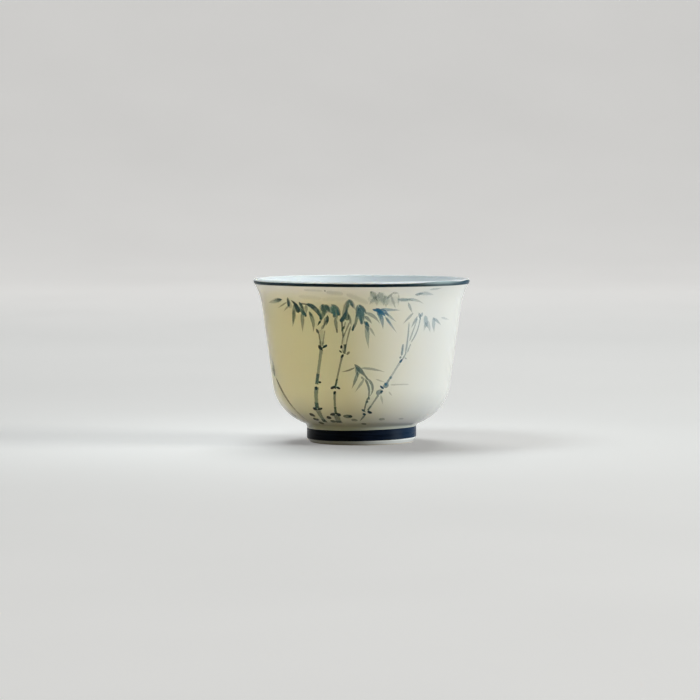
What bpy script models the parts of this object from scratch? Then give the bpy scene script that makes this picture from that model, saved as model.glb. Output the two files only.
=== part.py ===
"""A gongfu teacup: a porcelain bowl luted to a foot ring, with cobalt round its lip and its foot.

Every piece is turned about the Z axis. The cup stands on Z = 0, and lengths are in metres.
"""

import math

import bmesh
import bpy
from mathutils import Matrix, Vector

# Whole cup
RIM_DIAMETER = 0.0660  # across the outside of the lip
CUP_HEIGHT = 0.0500  # from the table to the crest of the lip
FOOT_DIAMETER = 0.0334
FOOT_HEIGHT = 0.0045  # from the table to the seat where the bowl is luted to its ring

# Bowl: outside are a neck above the foot, the underside, the wall and the flared lip, rounded where they meet
FOOT_NECK = 0.0010  # height of the neck, from the seat to the line of the underside
BELLY_DIAMETER = 0.0519  # where the lines of the wall and the underside would meet
BELLY_HEIGHT = 0.0094
FLARE_REACH = 0.0022  # how far the lip stands out past the top of the wall
FLARE_DROP = 0.0053  # how far below the crest the wall turns outwards
LIP_THICKNESS = 0.0015
WALL_THICKNESS = 0.0018
FLOOR_THICKNESS = 0.0026
NECK_RADIUS = 0.0024
BELLY_RADIUS = 0.0145
FLARE_RADIUS = 0.0173
FLOOR_RADIUS = 0.0080  # inside, where the floor turns up

# Foot ring
FOOT_WALL = 0.0032  # thickness of the ring at its seat
FOOT_TAPER_HEIGHT = 0.0013  # the bare white edge under the band
FOOT_TAPER_REACH = 0.0010  # how far that edge draws in at the table
FOOT_EDGE_RADIUS = 0.0003
WELL_DRAFT = 0.0004  # the hollow under the cup is this much wider at its mouth

# Cobalt: two layers let into the porcelain, flush with it
LINE_DROP = 0.00045  # how far the line runs down the flank below the round of the lip
LINE_THICKNESS = 0.0004
BAND_THICKNESS = 0.0004

# Clearance between a piece and its seat
SEAT_GAP = 0.0001

# Facets
SEGMENTS = 80
ARC_ERROR = 0.00004  # how far a facet may lie from the true arc
WELD_DISTANCE = 1e-7
SHARP_ANGLE = math.radians(35)

PORCELAIN = {"colour": (0.86, 0.85, 0.79), "roughness": 0.12}
BARE_FOOT = {"colour": (0.87, 0.86, 0.83), "roughness": 0.30}
COBALT_LINE = {"colour": (0.010, 0.030, 0.060), "roughness": 0.14}
COBALT_BAND = {"colour": (0.006, 0.010, 0.045), "roughness": 0.14}


def left_of(along):
    """The direction a quarter turn anticlockwise from this one, in the half section."""
    return Vector((-along.y, along.x))


def crossing(start, along, other_start, other_along):
    """Where two lines of the half section meet."""
    share = (other_start - start).cross(other_along) / along.cross(other_along)
    return start + along * share


def arc(centre, radius, first, last):
    """Points round a centre between two angles, both included."""
    step = 2 * math.acos(max(0.5, 1 - ARC_ERROR / radius))
    steps = max(1, math.ceil(abs(last - first) / step))
    angles = [first + (last - first) * count / steps for count in range(steps + 1)]
    return [centre + radius * Vector((math.cos(angle), math.sin(angle))) for angle in angles]


def fillet(corner, back, onward, radius):
    """The arc that rounds a corner between its two directions."""
    half_angle = back.angle(onward) / 2
    tangent = radius / math.tan(half_angle)
    centre = corner + (back + onward).normalized() * radius / math.sin(half_angle)
    start = corner + back * tangent - centre
    turn = start.angle_signed(corner + onward * tangent - centre)
    first = math.atan2(start.y, start.x)
    return arc(centre, radius, first, first - turn)


def rounded(corners):
    """An outline through (point, radius) corners. A corner with radius 0 stays sharp, as the two ends do.

    Where two neighbouring arcs would run into each other, both are made smaller.
    """
    points = [point for point, _ in corners]
    sides = [onward - point for point, onward in zip(points, points[1:])]
    tangents = [0.0]
    for (_, radius), side, onward in zip(corners[1:], sides, sides[1:]):
        tangents.append(radius * math.tan(side.angle(onward) / 2))
    tangents.append(0.0)
    room = [min(1, side.length / max(a + b, 1e-9)) for side, a, b in zip(sides, tangents, tangents[1:])]
    outline = [points[0]]
    for place in range(1, len(corners) - 1):
        corner, radius = corners[place]
        if radius:
            radius *= min(room[place - 1], room[place])
            outline += fillet(corner, -sides[place - 1].normalized(), sides[place].normalized(), radius)
        else:
            outline.append(corner)
    return outline + [points[-1]]


def bowl_corners():
    """The outside corners of the bowl's half section, from its seat up to the flare."""
    foot = Vector((FOOT_DIAMETER / 2, FOOT_HEIGHT))
    neck = foot + Vector((0, FOOT_NECK))
    belly = Vector((BELLY_DIAMETER / 2, BELLY_HEIGHT))
    flare = Vector((RIM_DIAMETER / 2 - FLARE_REACH, CUP_HEIGHT - FLARE_DROP))
    return foot, neck, belly, flare


def lip_round():
    """The circle over the lip: its centre, its radius, and the angle where the outer flank leaves it."""
    radius = LIP_THICKNESS / 2
    centre = Vector((RIM_DIAMETER / 2 - radius, CUP_HEIGHT - radius))
    reach = centre - bowl_corners()[-1]
    flank = math.atan2(reach.y, reach.x) - math.asin(radius / reach.length) - math.pi / 2
    return centre, radius, flank


def line_path(inset, ease):
    """Down the outside of the lip from its widest point to the foot of the cobalt line.

    The path lies this far inside the surface, and ease shortens both its ends.
    """
    centre, radius, flank = lip_round()
    path = arc(centre, radius - inset, -ease / radius, flank)
    down = Vector((math.sin(flank), -math.cos(flank)))
    return path + [path[-1] + down * (LINE_DROP - ease)]


def bowl_outline():
    foot, neck, belly, flare = bowl_corners()
    centre, radius, flank = lip_round()
    lip_inside = arc(centre, radius, flank + math.pi, math.pi / 2)
    lip_crest = arc(centre, radius, math.pi / 2, 0)
    under_along = (belly - neck).normalized()
    wall_along = (flare - belly).normalized()
    lip_along = Vector((-math.sin(flank), math.cos(flank)))

    under_inside = neck + left_of(under_along) * WALL_THICKNESS
    wall_inside = belly + left_of(wall_along) * WALL_THICKNESS
    floor = Vector((0, FOOT_HEIGHT + FLOOR_THICKNESS))
    level = Vector((1, 0))
    inside = rounded(
        [
            (floor, 0),
            (crossing(floor, level, under_inside, under_along), FLOOR_RADIUS),
            (crossing(under_inside, under_along, wall_inside, wall_along), BELLY_RADIUS - WALL_THICKNESS),
            (crossing(wall_inside, wall_along, lip_inside[0], lip_along), FLARE_RADIUS + WALL_THICKNESS),
            (lip_inside[0], 0),
        ]
    )
    outside = rounded(
        [
            (line_path(0, 0)[-1], 0),
            (flare, FLARE_RADIUS),
            (belly, BELLY_RADIUS),
            (neck, NECK_RADIUS),
            (foot, 0),
        ]
    )
    line_seat = line_path(LINE_THICKNESS + SEAT_GAP, 0)
    return inside + lip_inside[1:] + lip_crest[1:] + line_seat + outside + [Vector((0, FOOT_HEIGHT))]


def rim_line_outline():
    return line_path(0, SEAT_GAP) + line_path(LINE_THICKNESS, SEAT_GAP)[::-1]


def foot_ring_outline():
    outer = FOOT_DIAMETER / 2
    inner = outer - FOOT_WALL
    band_seat = outer - BAND_THICKNESS - SEAT_GAP
    top = FOOT_HEIGHT - SEAT_GAP
    return rounded(
        [
            (Vector((band_seat, top)), 0),
            (Vector((band_seat, FOOT_TAPER_HEIGHT)), 0),
            (Vector((outer, FOOT_TAPER_HEIGHT)), 0),
            (Vector((outer - FOOT_TAPER_REACH, 0)), FOOT_EDGE_RADIUS),
            (Vector((inner + WELL_DRAFT, 0)), FOOT_EDGE_RADIUS),
            (Vector((inner, top)), 0),
        ]
    )


def foot_band_outline():
    outer = FOOT_DIAMETER / 2
    inner = outer - BAND_THICKNESS
    top = FOOT_HEIGHT - SEAT_GAP
    bottom = FOOT_TAPER_HEIGHT + SEAT_GAP
    return [Vector((outer, top)), Vector((outer, bottom)), Vector((inner, bottom)), Vector((inner, top))]


def finish(name, colour, roughness):
    """A glazed or bare ceramic finish."""
    material = bpy.data.materials.new(name)
    material.use_nodes = True
    shader = material.node_tree.nodes["Principled BSDF"]
    shader.inputs["Base Color"].default_value = (*colour, 1)
    shader.inputs["Roughness"].default_value = roughness
    shader.inputs["Metallic"].default_value = 0
    material.diffuse_color = (*colour, 1)
    return material


def turned(name, outline, look):
    """A solid turned about the Z axis from a half section that runs down its outer side.

    A half section that stays off the axis is closed on itself, as a ring.
    """
    shape = bmesh.new()
    points = [shape.verts.new((point.x, 0, point.y)) for point in outline]
    pairs = list(zip(points, points[1:]))
    if outline[0].x > WELD_DISTANCE:
        pairs.append((points[-1], points[0]))
    edges = [shape.edges.new(pair) for pair in pairs]
    bmesh.ops.spin(
        shape,
        geom=points + edges,
        cent=(0, 0, 0),
        axis=(0, 0, 1),
        angle=2 * math.pi,
        steps=SEGMENTS,
        space=Matrix.Identity(4),
        use_merge=True,
    )
    bmesh.ops.remove_doubles(shape, verts=shape.verts, dist=WELD_DISTANCE)
    bmesh.ops.recalc_face_normals(shape, faces=shape.faces)
    mesh = bpy.data.meshes.new(name)
    shape.to_mesh(mesh)
    shape.free()
    mesh.shade_smooth()
    mesh.set_sharp_from_angle(angle=SHARP_ANGLE)
    mesh.materials.append(finish(name, **look))
    piece = bpy.data.objects.new(name, mesh)
    bpy.context.scene.collection.objects.link(piece)
    return piece


def main():
    for old in list(bpy.data.objects):
        bpy.data.objects.remove(old)
    turned("bowl", bowl_outline(), PORCELAIN)
    turned("foot_ring", foot_ring_outline(), BARE_FOOT)
    turned("rim_line", rim_line_outline(), COBALT_LINE)
    turned("foot_band", foot_band_outline(), COBALT_BAND)


main()
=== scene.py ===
import bisect
import math
import random

import bpy
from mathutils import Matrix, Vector


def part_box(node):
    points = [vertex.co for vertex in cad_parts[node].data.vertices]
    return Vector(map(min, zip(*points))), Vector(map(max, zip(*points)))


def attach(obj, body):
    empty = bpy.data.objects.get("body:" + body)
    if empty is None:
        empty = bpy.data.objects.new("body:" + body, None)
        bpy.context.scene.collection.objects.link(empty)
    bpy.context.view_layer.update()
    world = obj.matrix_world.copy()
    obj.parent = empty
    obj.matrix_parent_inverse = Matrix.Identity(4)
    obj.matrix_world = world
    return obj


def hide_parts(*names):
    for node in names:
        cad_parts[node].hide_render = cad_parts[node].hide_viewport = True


mm = 0.001
weldGap = 0.001 * mm
sharpAngle = math.radians(35)  # edges that turn more than this stay sharp
noiseSpan = (0.3, 0.7)  # most of a noise texture lies between these
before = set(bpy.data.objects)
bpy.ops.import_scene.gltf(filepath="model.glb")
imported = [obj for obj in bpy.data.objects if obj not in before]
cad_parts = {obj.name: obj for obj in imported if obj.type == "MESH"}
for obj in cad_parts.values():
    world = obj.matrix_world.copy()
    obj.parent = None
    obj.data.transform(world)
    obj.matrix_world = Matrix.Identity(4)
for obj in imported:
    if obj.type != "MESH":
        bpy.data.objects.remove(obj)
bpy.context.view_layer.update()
bpy.ops.object.select_all(action="DESELECT")  # the frame's nodes arrive selected
print("frame loaded:", ", ".join(sorted(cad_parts)))

# Half sections are drawn in millimetres, as (distance from the axis, height)


def leftOf(along):
    return Vector((-along.y, along.x))


def crossing(start, along, otherStart, otherAlong):
    share = (otherStart - start).cross(otherAlong) / along.cross(otherAlong)
    return start + along * share


def arcPoints(centre, radius, first, last, stepDegrees):
    steps = max(1, math.ceil(abs(math.degrees(last - first)) / stepDegrees))
    angles = [first + (last - first) * count / steps for count in range(steps + 1)]
    return [centre + radius * Vector((math.cos(angle), math.sin(angle))) for angle in angles]


def roundedPath(corners, stepDegrees):  # corners are (point, radius), and the two ends stay sharp
    path = [corners[0][0]]
    for (before, _), (corner, radius), (after, _) in zip(corners, corners[1:], corners[2:]):
        back = (before - corner).normalized()
        onward = (after - corner).normalized()
        halfAngle = back.angle(onward) / 2
        reach = radius / math.tan(halfAngle)
        centre = corner + (back + onward).normalized() * radius / math.sin(halfAngle)
        start = corner + back * reach - centre
        turn = start.angle_signed(corner + onward * reach - centre)
        first = math.atan2(start.y, start.x)
        path += arcPoints(centre, radius, first, first - turn, stepDegrees)
    return path + [corners[-1][0]]


def evenlyDivided(path, longest):  # long straight runs get points of their own
    divided = [path[0]]
    for here, onward in zip(path, path[1:]):
        steps = max(1, math.ceil((onward - here).length / longest))
        divided += [here.lerp(onward, count / steps) for count in range(1, steps + 1)]
    return divided


def sectionOf(vertex):  # where a vertex lies in the half section
    return Vector((math.hypot(vertex.co.x, vertex.co.y), vertex.co.z)) / mm


def turnOf(vertex):  # radians round the axis, from the front to the right
    return math.atan2(vertex.co.x, -vertex.co.y)


def placed(spot, turn):  # a point of the half section, that many radians round the axis
    return Vector((spot.x * math.sin(turn), -spot.x * math.cos(turn), spot.y)) * mm


# Bowl


bowlShape = {
    "neckHeight": 1.0,  # from the seat to the line of the underside
    "belly": (25.95, 9.4),  # where the lines of the wall and the underside would meet
    "flareReach": 2.2,  # how far the lip stands out past the top of the wall
    "flareDrop": 5.3,  # how far below the crest the wall turns outwards
    "lipThickness": 1.5,
    "wallThickness": 1.8,
    "floorThickness": 2.6,
    "neckRound": 1.5,
    "bellyRound": 14.5,
    "flareRound": 17.3,
    "floorRound": 8.0,
    "stepDegrees": 2.5,
    "lipStep": 8,  # degrees
    "longestStep": 0.8,
    "segments": 256,
}
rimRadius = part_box("bowl")[1].x / mm
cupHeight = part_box("bowl")[1].z / mm
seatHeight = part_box("bowl")[0].z / mm
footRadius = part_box("foot_band")[1].x / mm

lipRadius = bowlShape["lipThickness"] / 2
lipCentre = Vector((rimRadius - lipRadius, cupHeight - lipRadius))
footCorner = Vector((footRadius, seatHeight))
neckCorner = footCorner + Vector((0, bowlShape["neckHeight"]))
bellyCorner = Vector(bowlShape["belly"])
flareCorner = Vector((rimRadius - bowlShape["flareReach"], cupHeight - bowlShape["flareDrop"]))
flareAway = lipCentre - flareCorner
flankAngle = math.atan2(flareAway.y, flareAway.x) - math.asin(lipRadius / flareAway.length) - math.pi / 2


def outerWall():  # from the seat up to the crest of the lip
    shape = bowlShape
    lip = arcPoints(lipCentre, lipRadius, flankAngle, math.pi / 2, shape["lipStep"])
    path = roundedPath(
        [
            (footCorner, 0),
            (neckCorner, shape["neckRound"]),
            (bellyCorner, shape["bellyRound"]),
            (flareCorner, shape["flareRound"]),
            (lip[0], 0),
        ],
        shape["stepDegrees"],
    )
    return evenlyDivided(path, shape["longestStep"]) + lip[1:]


def innerWall():  # from the crest of the lip down to the middle of the floor
    shape = bowlShape
    lip = arcPoints(lipCentre, lipRadius, math.pi / 2, flankAngle + math.pi, shape["lipStep"])
    underAlong = (bellyCorner - neckCorner).normalized()
    wallAlong = (flareCorner - bellyCorner).normalized()
    lipAlong = Vector((-math.sin(flankAngle), math.cos(flankAngle)))
    thickness = shape["wallThickness"]
    underInside = neckCorner + leftOf(underAlong) * thickness
    wallInside = bellyCorner + leftOf(wallAlong) * thickness
    floorMiddle = Vector((0, seatHeight + shape["floorThickness"]))
    path = roundedPath(
        [
            (lip[-1], 0),
            (crossing(wallInside, wallAlong, lip[-1], lipAlong), shape["flareRound"] + thickness),
            (crossing(underInside, underAlong, wallInside, wallAlong), shape["bellyRound"] - thickness),
            (crossing(floorMiddle, Vector((1, 0)), underInside, underAlong), shape["floorRound"]),
            (floorMiddle, 0),
        ],
        shape["stepDegrees"],
    )
    return lip[1:] + evenlyDivided(path, shape["longestStep"])[1:]


def turnedPiece(name, outline, segments):  # a half section, drawn point by point and spun about the axis
    bpy.ops.object.select_all(action="DESELECT")
    bpy.ops.mesh.primitive_plane_add(size=mm, location=(0, 0, 0))
    piece = bpy.context.object
    piece.name = piece.data.name = name
    bpy.ops.object.mode_set(mode="EDIT")
    bpy.ops.mesh.merge(type="CENTER")
    bpy.ops.transform.translate(value=(outline[0].x * mm, 0, outline[0].y * mm))
    for here, onward in zip(outline, outline[1:]):
        step = (onward - here) * mm
        bpy.ops.mesh.extrude_region_move(TRANSFORM_OT_translate={"value": (step.x, 0, step.y)})
    bpy.ops.mesh.select_all(action="SELECT")
    bpy.ops.mesh.spin(steps=segments, angle=2 * math.pi, center=(0, 0, 0), axis=(0, 0, 1))
    bpy.ops.mesh.select_all(action="SELECT")
    bpy.ops.mesh.remove_doubles(threshold=weldGap)
    bpy.ops.mesh.normals_make_consistent(inside=False)
    bpy.ops.object.mode_set(mode="OBJECT")
    bpy.ops.object.shade_smooth_by_angle(angle=sharpAngle)
    return piece


wallPath = outerWall()
bowlOutline = [Vector((0, seatHeight))] + wallPath + innerWall()
bowl = turnedPiece("porcelainBowl", bowlOutline, bowlShape["segments"])
print("bowl turned:", len(bowl.data.polygons), "faces")

# Finishes


def addNode(tree, kind, values=None, links=None, **options):
    node = tree.nodes.new("ShaderNode" + kind)
    for option, setting in options.items():
        setattr(node, option, setting)
    for socket, value in (values or {}).items():
        node.inputs[socket].default_value = value
    for socket, source in (links or {}).items():
        tree.links.new(source, node.inputs[socket])
    return node


def newFinish(name, **sockets):  # a Principled finish, with the values that are the same all over it
    finish = bpy.data.materials.new(name)
    finish.use_nodes = True
    shader = finish.node_tree.nodes["Principled BSDF"]
    for socket, value in sockets.items():
        shader.inputs[socket.replace("_", " ")].default_value = value
    return finish, finish.node_tree, shader


def mixColours(tree, factor, first, second):  # each colour is a value or a socket
    mix = addNode(tree, "Mix", data_type="RGBA")
    for place, colour in ((6, first), (7, second)):
        if isinstance(colour, tuple):
            mix.inputs[place].default_value = (*colour, 1)
        else:
            tree.links.new(colour, mix.inputs[place])
    tree.links.new(factor, mix.inputs[0])
    return mix.outputs[2]


def mapRange(tree, source, fromMin, fromMax, toMin=0.0, toMax=1.0, smooth=False):
    values = {"From Min": fromMin, "From Max": fromMax, "To Min": toMin, "To Max": toMax}
    kind = "SMOOTHSTEP" if smooth else "LINEAR"
    node = addNode(tree, "MapRange", values, {"Value": source}, interpolation_type=kind)
    return node.outputs["Result"]


def calculate(tree, operation, first, second=0.0, clamp=False):
    node = addNode(tree, "Math", operation=operation, use_clamp=clamp)
    for place, value in ((0, first), (1, second)):
        if isinstance(value, (int, float)):
            node.inputs[place].default_value = value
        else:
            tree.links.new(value, node.inputs[place])
    return node.outputs[0]


def noise(tree, place, scale, detail=2.0, roughness=0.5):
    values = {"Scale": scale, "Detail": detail, "Roughness": roughness}
    return addNode(tree, "TexNoise", values, {"Vector": place}).outputs["Fac"]


def attribute(tree, name):
    return addNode(tree, "Attribute", attribute_name=name).outputs["Fac"]


def setAttribute(piece, name, values):  # one number for each vertex
    piece.data.attributes.new(name, "FLOAT", "POINT").data.foreach_set("value", values)


def dress(piece, finish, slot, *nodes):
    piece.data.materials.clear()
    piece.data.materials.append(finish)
    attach(piece, "root")
    if nodes:
        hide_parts(*nodes)


def smoothStep(low, high, value):
    share = min(1, max(0, (value - low) / (high - low)))
    return share * share * (3 - 2 * share)


glazeLook = {
    "cream": (0.85, 0.845, 0.80),
    "milk": (0.83, 0.845, 0.825),
    # the inner glaze, cooler than the outer one, with painted cool light from above on it
    "inside": (0.85, 0.89, 0.91),
    "pooledAndShade": (0.52, 0.56, 0.49),  # where the glaze runs together on the inside floor, and painted shade in the neck above the foot
    "thin": (0.72, 0.76, 0.76),  # painted shade on the inner edge of the lip and just below it
    # whiter than the bowl's glaze, as painted light on the shaded edge of the foot
    "foot": (0.90, 0.93, 0.93),
    "speck": (0.45, 0.40, 0.32),
    "speckShare": 0.22,
    "floorPool": 0.6,  # how far the glaze pools inside, on the floor
    "roughness": (0.16, 0.24),
    "cloudScale": 55,
    "cloudEdge": (0.35, 0.65),
    "speckScale": 420,
    "speckEdge": (0.79, 0.84),
    "rippleScale": 90,
    "ripple": 0.02 * mm,
    "dimpleScale": 700,
    "dimple": 0.004 * mm,
}
glazeReach = {  # in mm, from where each tint starts to where it is full: glaze tints and painted shade
    "insideDepth": (0.3, 1.2),  # behind the outer wall
    "insideRise": (1.0, 2.0),  # above the seat
    "floorPool": (9, 15),  # from the axis
    "floorPoolHeight": (14, 9),
    # painted shade in the crease of the neck, just above the foot
    "neckShade": (20, 17),  # from the axis
    "neckShadeRise": (2.2, 0.6),  # above the seat
    # painted shade on the inner edge of the lip
    "lipShadeAcross": (0.3, -0.3),  # outside the middle of the lip, and inside it
    "lipShadeDepth": (1.2, 0.0),  # below the crest
}

wallByHeight = sorted((point.y, point.x) for point in wallPath)
wallHeights = [height for height, _ in wallByHeight]


def wallRadius(height):
    place = min(max(bisect.bisect_right(wallHeights, height), 1), len(wallByHeight) - 1)
    (low, inner), (high, outer) = wallByHeight[place - 1], wallByHeight[place]
    return inner + (outer - inner) * (height - low) / max(high - low, 1e-6)


def insideShare(radius, height):
    crest = smoothStep(lipCentre.y, lipCentre.y + lipRadius / 2, height)
    behind = smoothStep(*glazeReach["insideDepth"], wallRadius(height) - radius)
    return max(crest, behind * smoothStep(*glazeReach["insideRise"], height - seatHeight))


# glaze pooled on the inside floor, and painted shade in the neck crease above the foot
def pooledAndShadeShare(radius, height):
    if insideShare(radius, height) > 0.5:
        onFloor = smoothStep(*glazeReach["floorPool"], radius)
        return glazeLook["floorPool"] * onFloor * smoothStep(*glazeReach["floorPoolHeight"], height)
    onNeck = smoothStep(*glazeReach["neckShade"], radius)
    return onNeck * smoothStep(*glazeReach["neckShadeRise"], height - seatHeight)


# painted shade on the inner edge of the lip and the top of the inside wall
def lipShadeShare(radius, height):
    inner = smoothStep(*glazeReach["lipShadeAcross"], radius - lipCentre.x)
    return inner * smoothStep(*glazeReach["lipShadeDepth"], cupHeight - height)


glazeParts = {"inside": insideShare, "pooledAndShade": pooledAndShadeShare, "thin": lipShadeShare}


def porcelainGlaze():
    look = glazeLook
    finish, tree, shader = newFinish(
        "clearGlaze", IOR=1.5, Specular_IOR_Level=0.35,
        Coat_Weight=0.25, Coat_Roughness=0.06, Coat_IOR=1.5,
        Subsurface_Weight=0.12, Subsurface_Scale=1.2 * mm, Subsurface_Radius=(1.0, 0.9, 0.7),
    )
    place = addNode(tree, "TexCoord").outputs["Object"]
    clouds = mapRange(tree, noise(tree, place, look["cloudScale"], 3), *look["cloudEdge"])
    colour = mixColours(tree, clouds, look["cream"], look["milk"])
    # the inside tint with painted cool light, the pooled glaze with painted neck shade, and the painted lip
    # shade
    for part in glazeParts:
        colour = mixColours(tree, attribute(tree, part), colour, look[part])
    specks = noise(tree, place, look["speckScale"], 1)
    specks = mapRange(tree, specks, *look["speckEdge"], 0, look["speckShare"])
    colour = mixColours(tree, specks, colour, look["speck"])
    tree.links.new(colour, shader.inputs["Base Color"])
    gloss = noise(tree, place, look["cloudScale"] * 3, 2)
    gloss = mapRange(tree, gloss, *noiseSpan, *look["roughness"])
    tree.links.new(gloss, shader.inputs["Roughness"])
    ripple = addNode(
        tree, "Bump", {"Strength": 1.0, "Distance": look["ripple"]},
        {"Height": noise(tree, place, look["rippleScale"], 1)},
    )
    dimple = addNode(
        tree, "Bump", {"Strength": 1.0, "Distance": look["dimple"]},
        {"Height": noise(tree, place, look["dimpleScale"], 1), "Normal": ripple.outputs[0]},
    )
    tree.links.new(dimple.outputs[0], shader.inputs["Normal"])
    return finish


for part, share in glazeParts.items():
    setAttribute(bowl, part, [share(*sectionOf(vertex)) for vertex in bowl.data.vertices])
dress(bowl, porcelainGlaze(), "glazed_porcelain", "bowl")
print("bowl glazed")

# Foot ring


footShape = {
    "wall": 3.2,
    "taperHeight": 1.3,  # the white edge under the band
    "taperReach": 1.0,
    "edgeRound": 0.3,
    "wellDraft": 0.4,
    "bareHeight": 0.35,  # wiped clean of glaze up to here
    "stepDegrees": 10,
    "longestStep": 0.35,
    "segments": 224,
}
footLook = {
    "biscuit": ((0.74, 0.71, 0.65), (0.83, 0.81, 0.76)),
    "toasted": (0.66, 0.50, 0.33),
    "toastedShare": 0.5,
    "toastedReach": (0.25 * mm, 0.12 * mm),  # below the edge of the glaze, and above it
    "roughness": (0.2, 0.8),  # glazed, and bare
    "coat": (0.35, 0.0),
    "wipedScale": 260,
    "wipedSway": 0.08 * mm,
    "wipedEdge": 0.03 * mm,
    "grainScale": 2600,
    "grainEdge": (0.35, 0.65),
    "grain": 0.03 * mm,
}


def footOutline():
    shape = footShape
    inner = footRadius - shape["wall"]
    corners = [
        (Vector((inner, seatHeight)), 0),
        (Vector((inner + shape["wellDraft"], 0)), shape["edgeRound"]),
        (Vector((footRadius - shape["taperReach"], 0)), shape["edgeRound"]),
        (Vector((footRadius, shape["taperHeight"])), shape["edgeRound"]),
        (Vector((footRadius, seatHeight)), 0),
    ]
    path = evenlyDivided(roundedPath(corners, shape["stepDegrees"]), shape["longestStep"])
    return path + [path[0]]


def footFinish():
    look = footLook
    finish, tree, shader = newFinish("wipedFoot", IOR=1.5, Coat_Roughness=0.08)
    place = addNode(tree, "TexCoord").outputs["Object"]
    height = addNode(tree, "SeparateXYZ", links={"Vector": place}).outputs["Z"]
    sway = look["wipedSway"]
    wiped = mapRange(tree, noise(tree, place, look["wipedScale"], 2), *noiseSpan, -sway, sway)
    level = calculate(tree, "ADD", height, wiped)
    edge = footShape["bareHeight"] * mm
    bare = mapRange(tree, level, edge + look["wipedEdge"], edge - look["wipedEdge"])
    below, above = look["toastedReach"]
    toasted = calculate(
        tree, "MULTIPLY",
        mapRange(tree, level, edge - below, edge, smooth=True),
        mapRange(tree, level, edge + above, edge, smooth=True),
    )
    toasted = calculate(tree, "MULTIPLY", toasted, look["toastedShare"])
    grain = noise(tree, place, look["grainScale"], 3, 0.7)
    biscuit = mixColours(tree, mapRange(tree, grain, *look["grainEdge"]), *look["biscuit"])
    clouds = mapRange(tree, noise(tree, place, glazeLook["cloudScale"], 3), *glazeLook["cloudEdge"])
    # the foot's glaze, painted whiter as light on its shaded edge
    glaze = mixColours(tree, clouds, glazeLook["milk"], glazeLook["foot"])
    colour = mixColours(tree, bare, glaze, biscuit)
    colour = mixColours(tree, toasted, colour, look["toasted"])
    tree.links.new(colour, shader.inputs["Base Color"])
    tree.links.new(mapRange(tree, bare, 0, 1, *look["roughness"]), shader.inputs["Roughness"])
    tree.links.new(mapRange(tree, bare, 0, 1, *look["coat"]), shader.inputs["Coat Weight"])
    rough = calculate(tree, "MULTIPLY", grain, bare)
    uneven = addNode(tree, "Bump", {"Strength": 0.8, "Distance": look["grain"]}, {"Height": rough})
    tree.links.new(uneven.outputs[0], shader.inputs["Normal"])
    return finish


foot = turnedPiece("footRing", footOutline(), footShape["segments"])
dress(foot, footFinish(), "foot_porcelain", "foot_ring")
print("foot ring turned and wiped")

# Cobalt round the lip and the foot


swayWaves = (2, 3, 5, 9, 14)  # how often each wave rises and falls in one turn


def waver(turn, seed, size):  # a hand's unsteadiness round a turning cup
    drawn = random.Random(seed)
    waves = [(count, drawn.uniform(0, 2 * math.pi)) for count in swayWaves]
    return size * sum(math.sin(count * turn + start) / math.sqrt(count) for count, start in waves)


def bump(turn, middle, spread):  # 1 in the middle, fading to each side, in degrees from the front
    return math.exp(-(((math.degrees(turn) - middle) / spread) ** 2))


lineSet = {
    "top": 10,  # degrees above the widest point of the lip
    "drop": 0.5,
    "lift": 0.03,
    "depth": 0.3,
    "waver": 0.02,
    "seeds": (12, 11),  # of the upper edge's waver, and the lower one's
    "lap": (76, 9, 30),  # where the brush went over its start: degrees from the front, spread, climb
    "worn": (48, 13, 45),  # where the brush ran dry and the line is a pale wash
    "wornBelow": 0.2,  # how pale its lower edge is there
    "bluestAndLit": (78, 22),  # degrees from the front, and spread: where the cobalt is thinner and bluer, and painted lighter on the side the key light falls on
    "stepDegrees": 6,
    "segments": 288,
    "dense": (0.002, 0.007, 0.011),
    "thin": (0.012, 0.04, 0.06),
    # thinner cobalt towards the right, made lighter as painted light from the key light's side
    "blue": (0.008, 0.055, 0.10),
    "streakScale": 240,
    "gloss": 0.05,
}
bandSet = {
    "low": 1.39,
    "high": 4.66,
    "slope": 0.32,  # the band climbs this far from the front to the right, and drops as far to the left
    "lift": 0.03,
    "depth": 0.3,
    "waver": 0.03,
    "seeds": (23, 24),
    # towards the right the cobalt is thinner and bluer, and painted lighter where the key light falls
    "bluestAndLit": (70, 32),
    "rows": 14,
    "segments": 224,
    "dense": (0.0015, 0.003, 0.008),
    "thin": (0.006, 0.012, 0.03),
    # thinner cobalt, with painted light on the key light's side
    "blue": (0.008, 0.030, 0.070),
    "streakScale": 130,
    "gloss": 0.06,
}
cobaltLook = {
    "worn": (0.55, 0.70, 0.72),
    "stretch": (1, 1, 9),  # the streaks run round the cup
    "streakShare": 0.65,
    "lapScale": 60,
    "lapShare": 0.5,
    "thinEdge": (0.45, 0.78),
    "roughness": (0.2, 0.4),
    "ridge": 0.01 * mm,
}


def lineOutline():  # down the outside of the lip
    shape = lineSet
    down = Vector((math.sin(flankAngle), -math.cos(flankAngle)))

    def path(out):
        top = math.radians(shape["top"])
        bend = arcPoints(lipCentre, lipRadius + out, top, flankAngle, shape["stepDegrees"])
        return bend + [bend[-1] + down * shape["drop"] * share for share in (0.25, 0.5, 0.75, 1)]

    outer, inner = path(shape["lift"]), path(-shape["depth"])
    return outer + inner[::-1] + [outer[0]]


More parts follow.
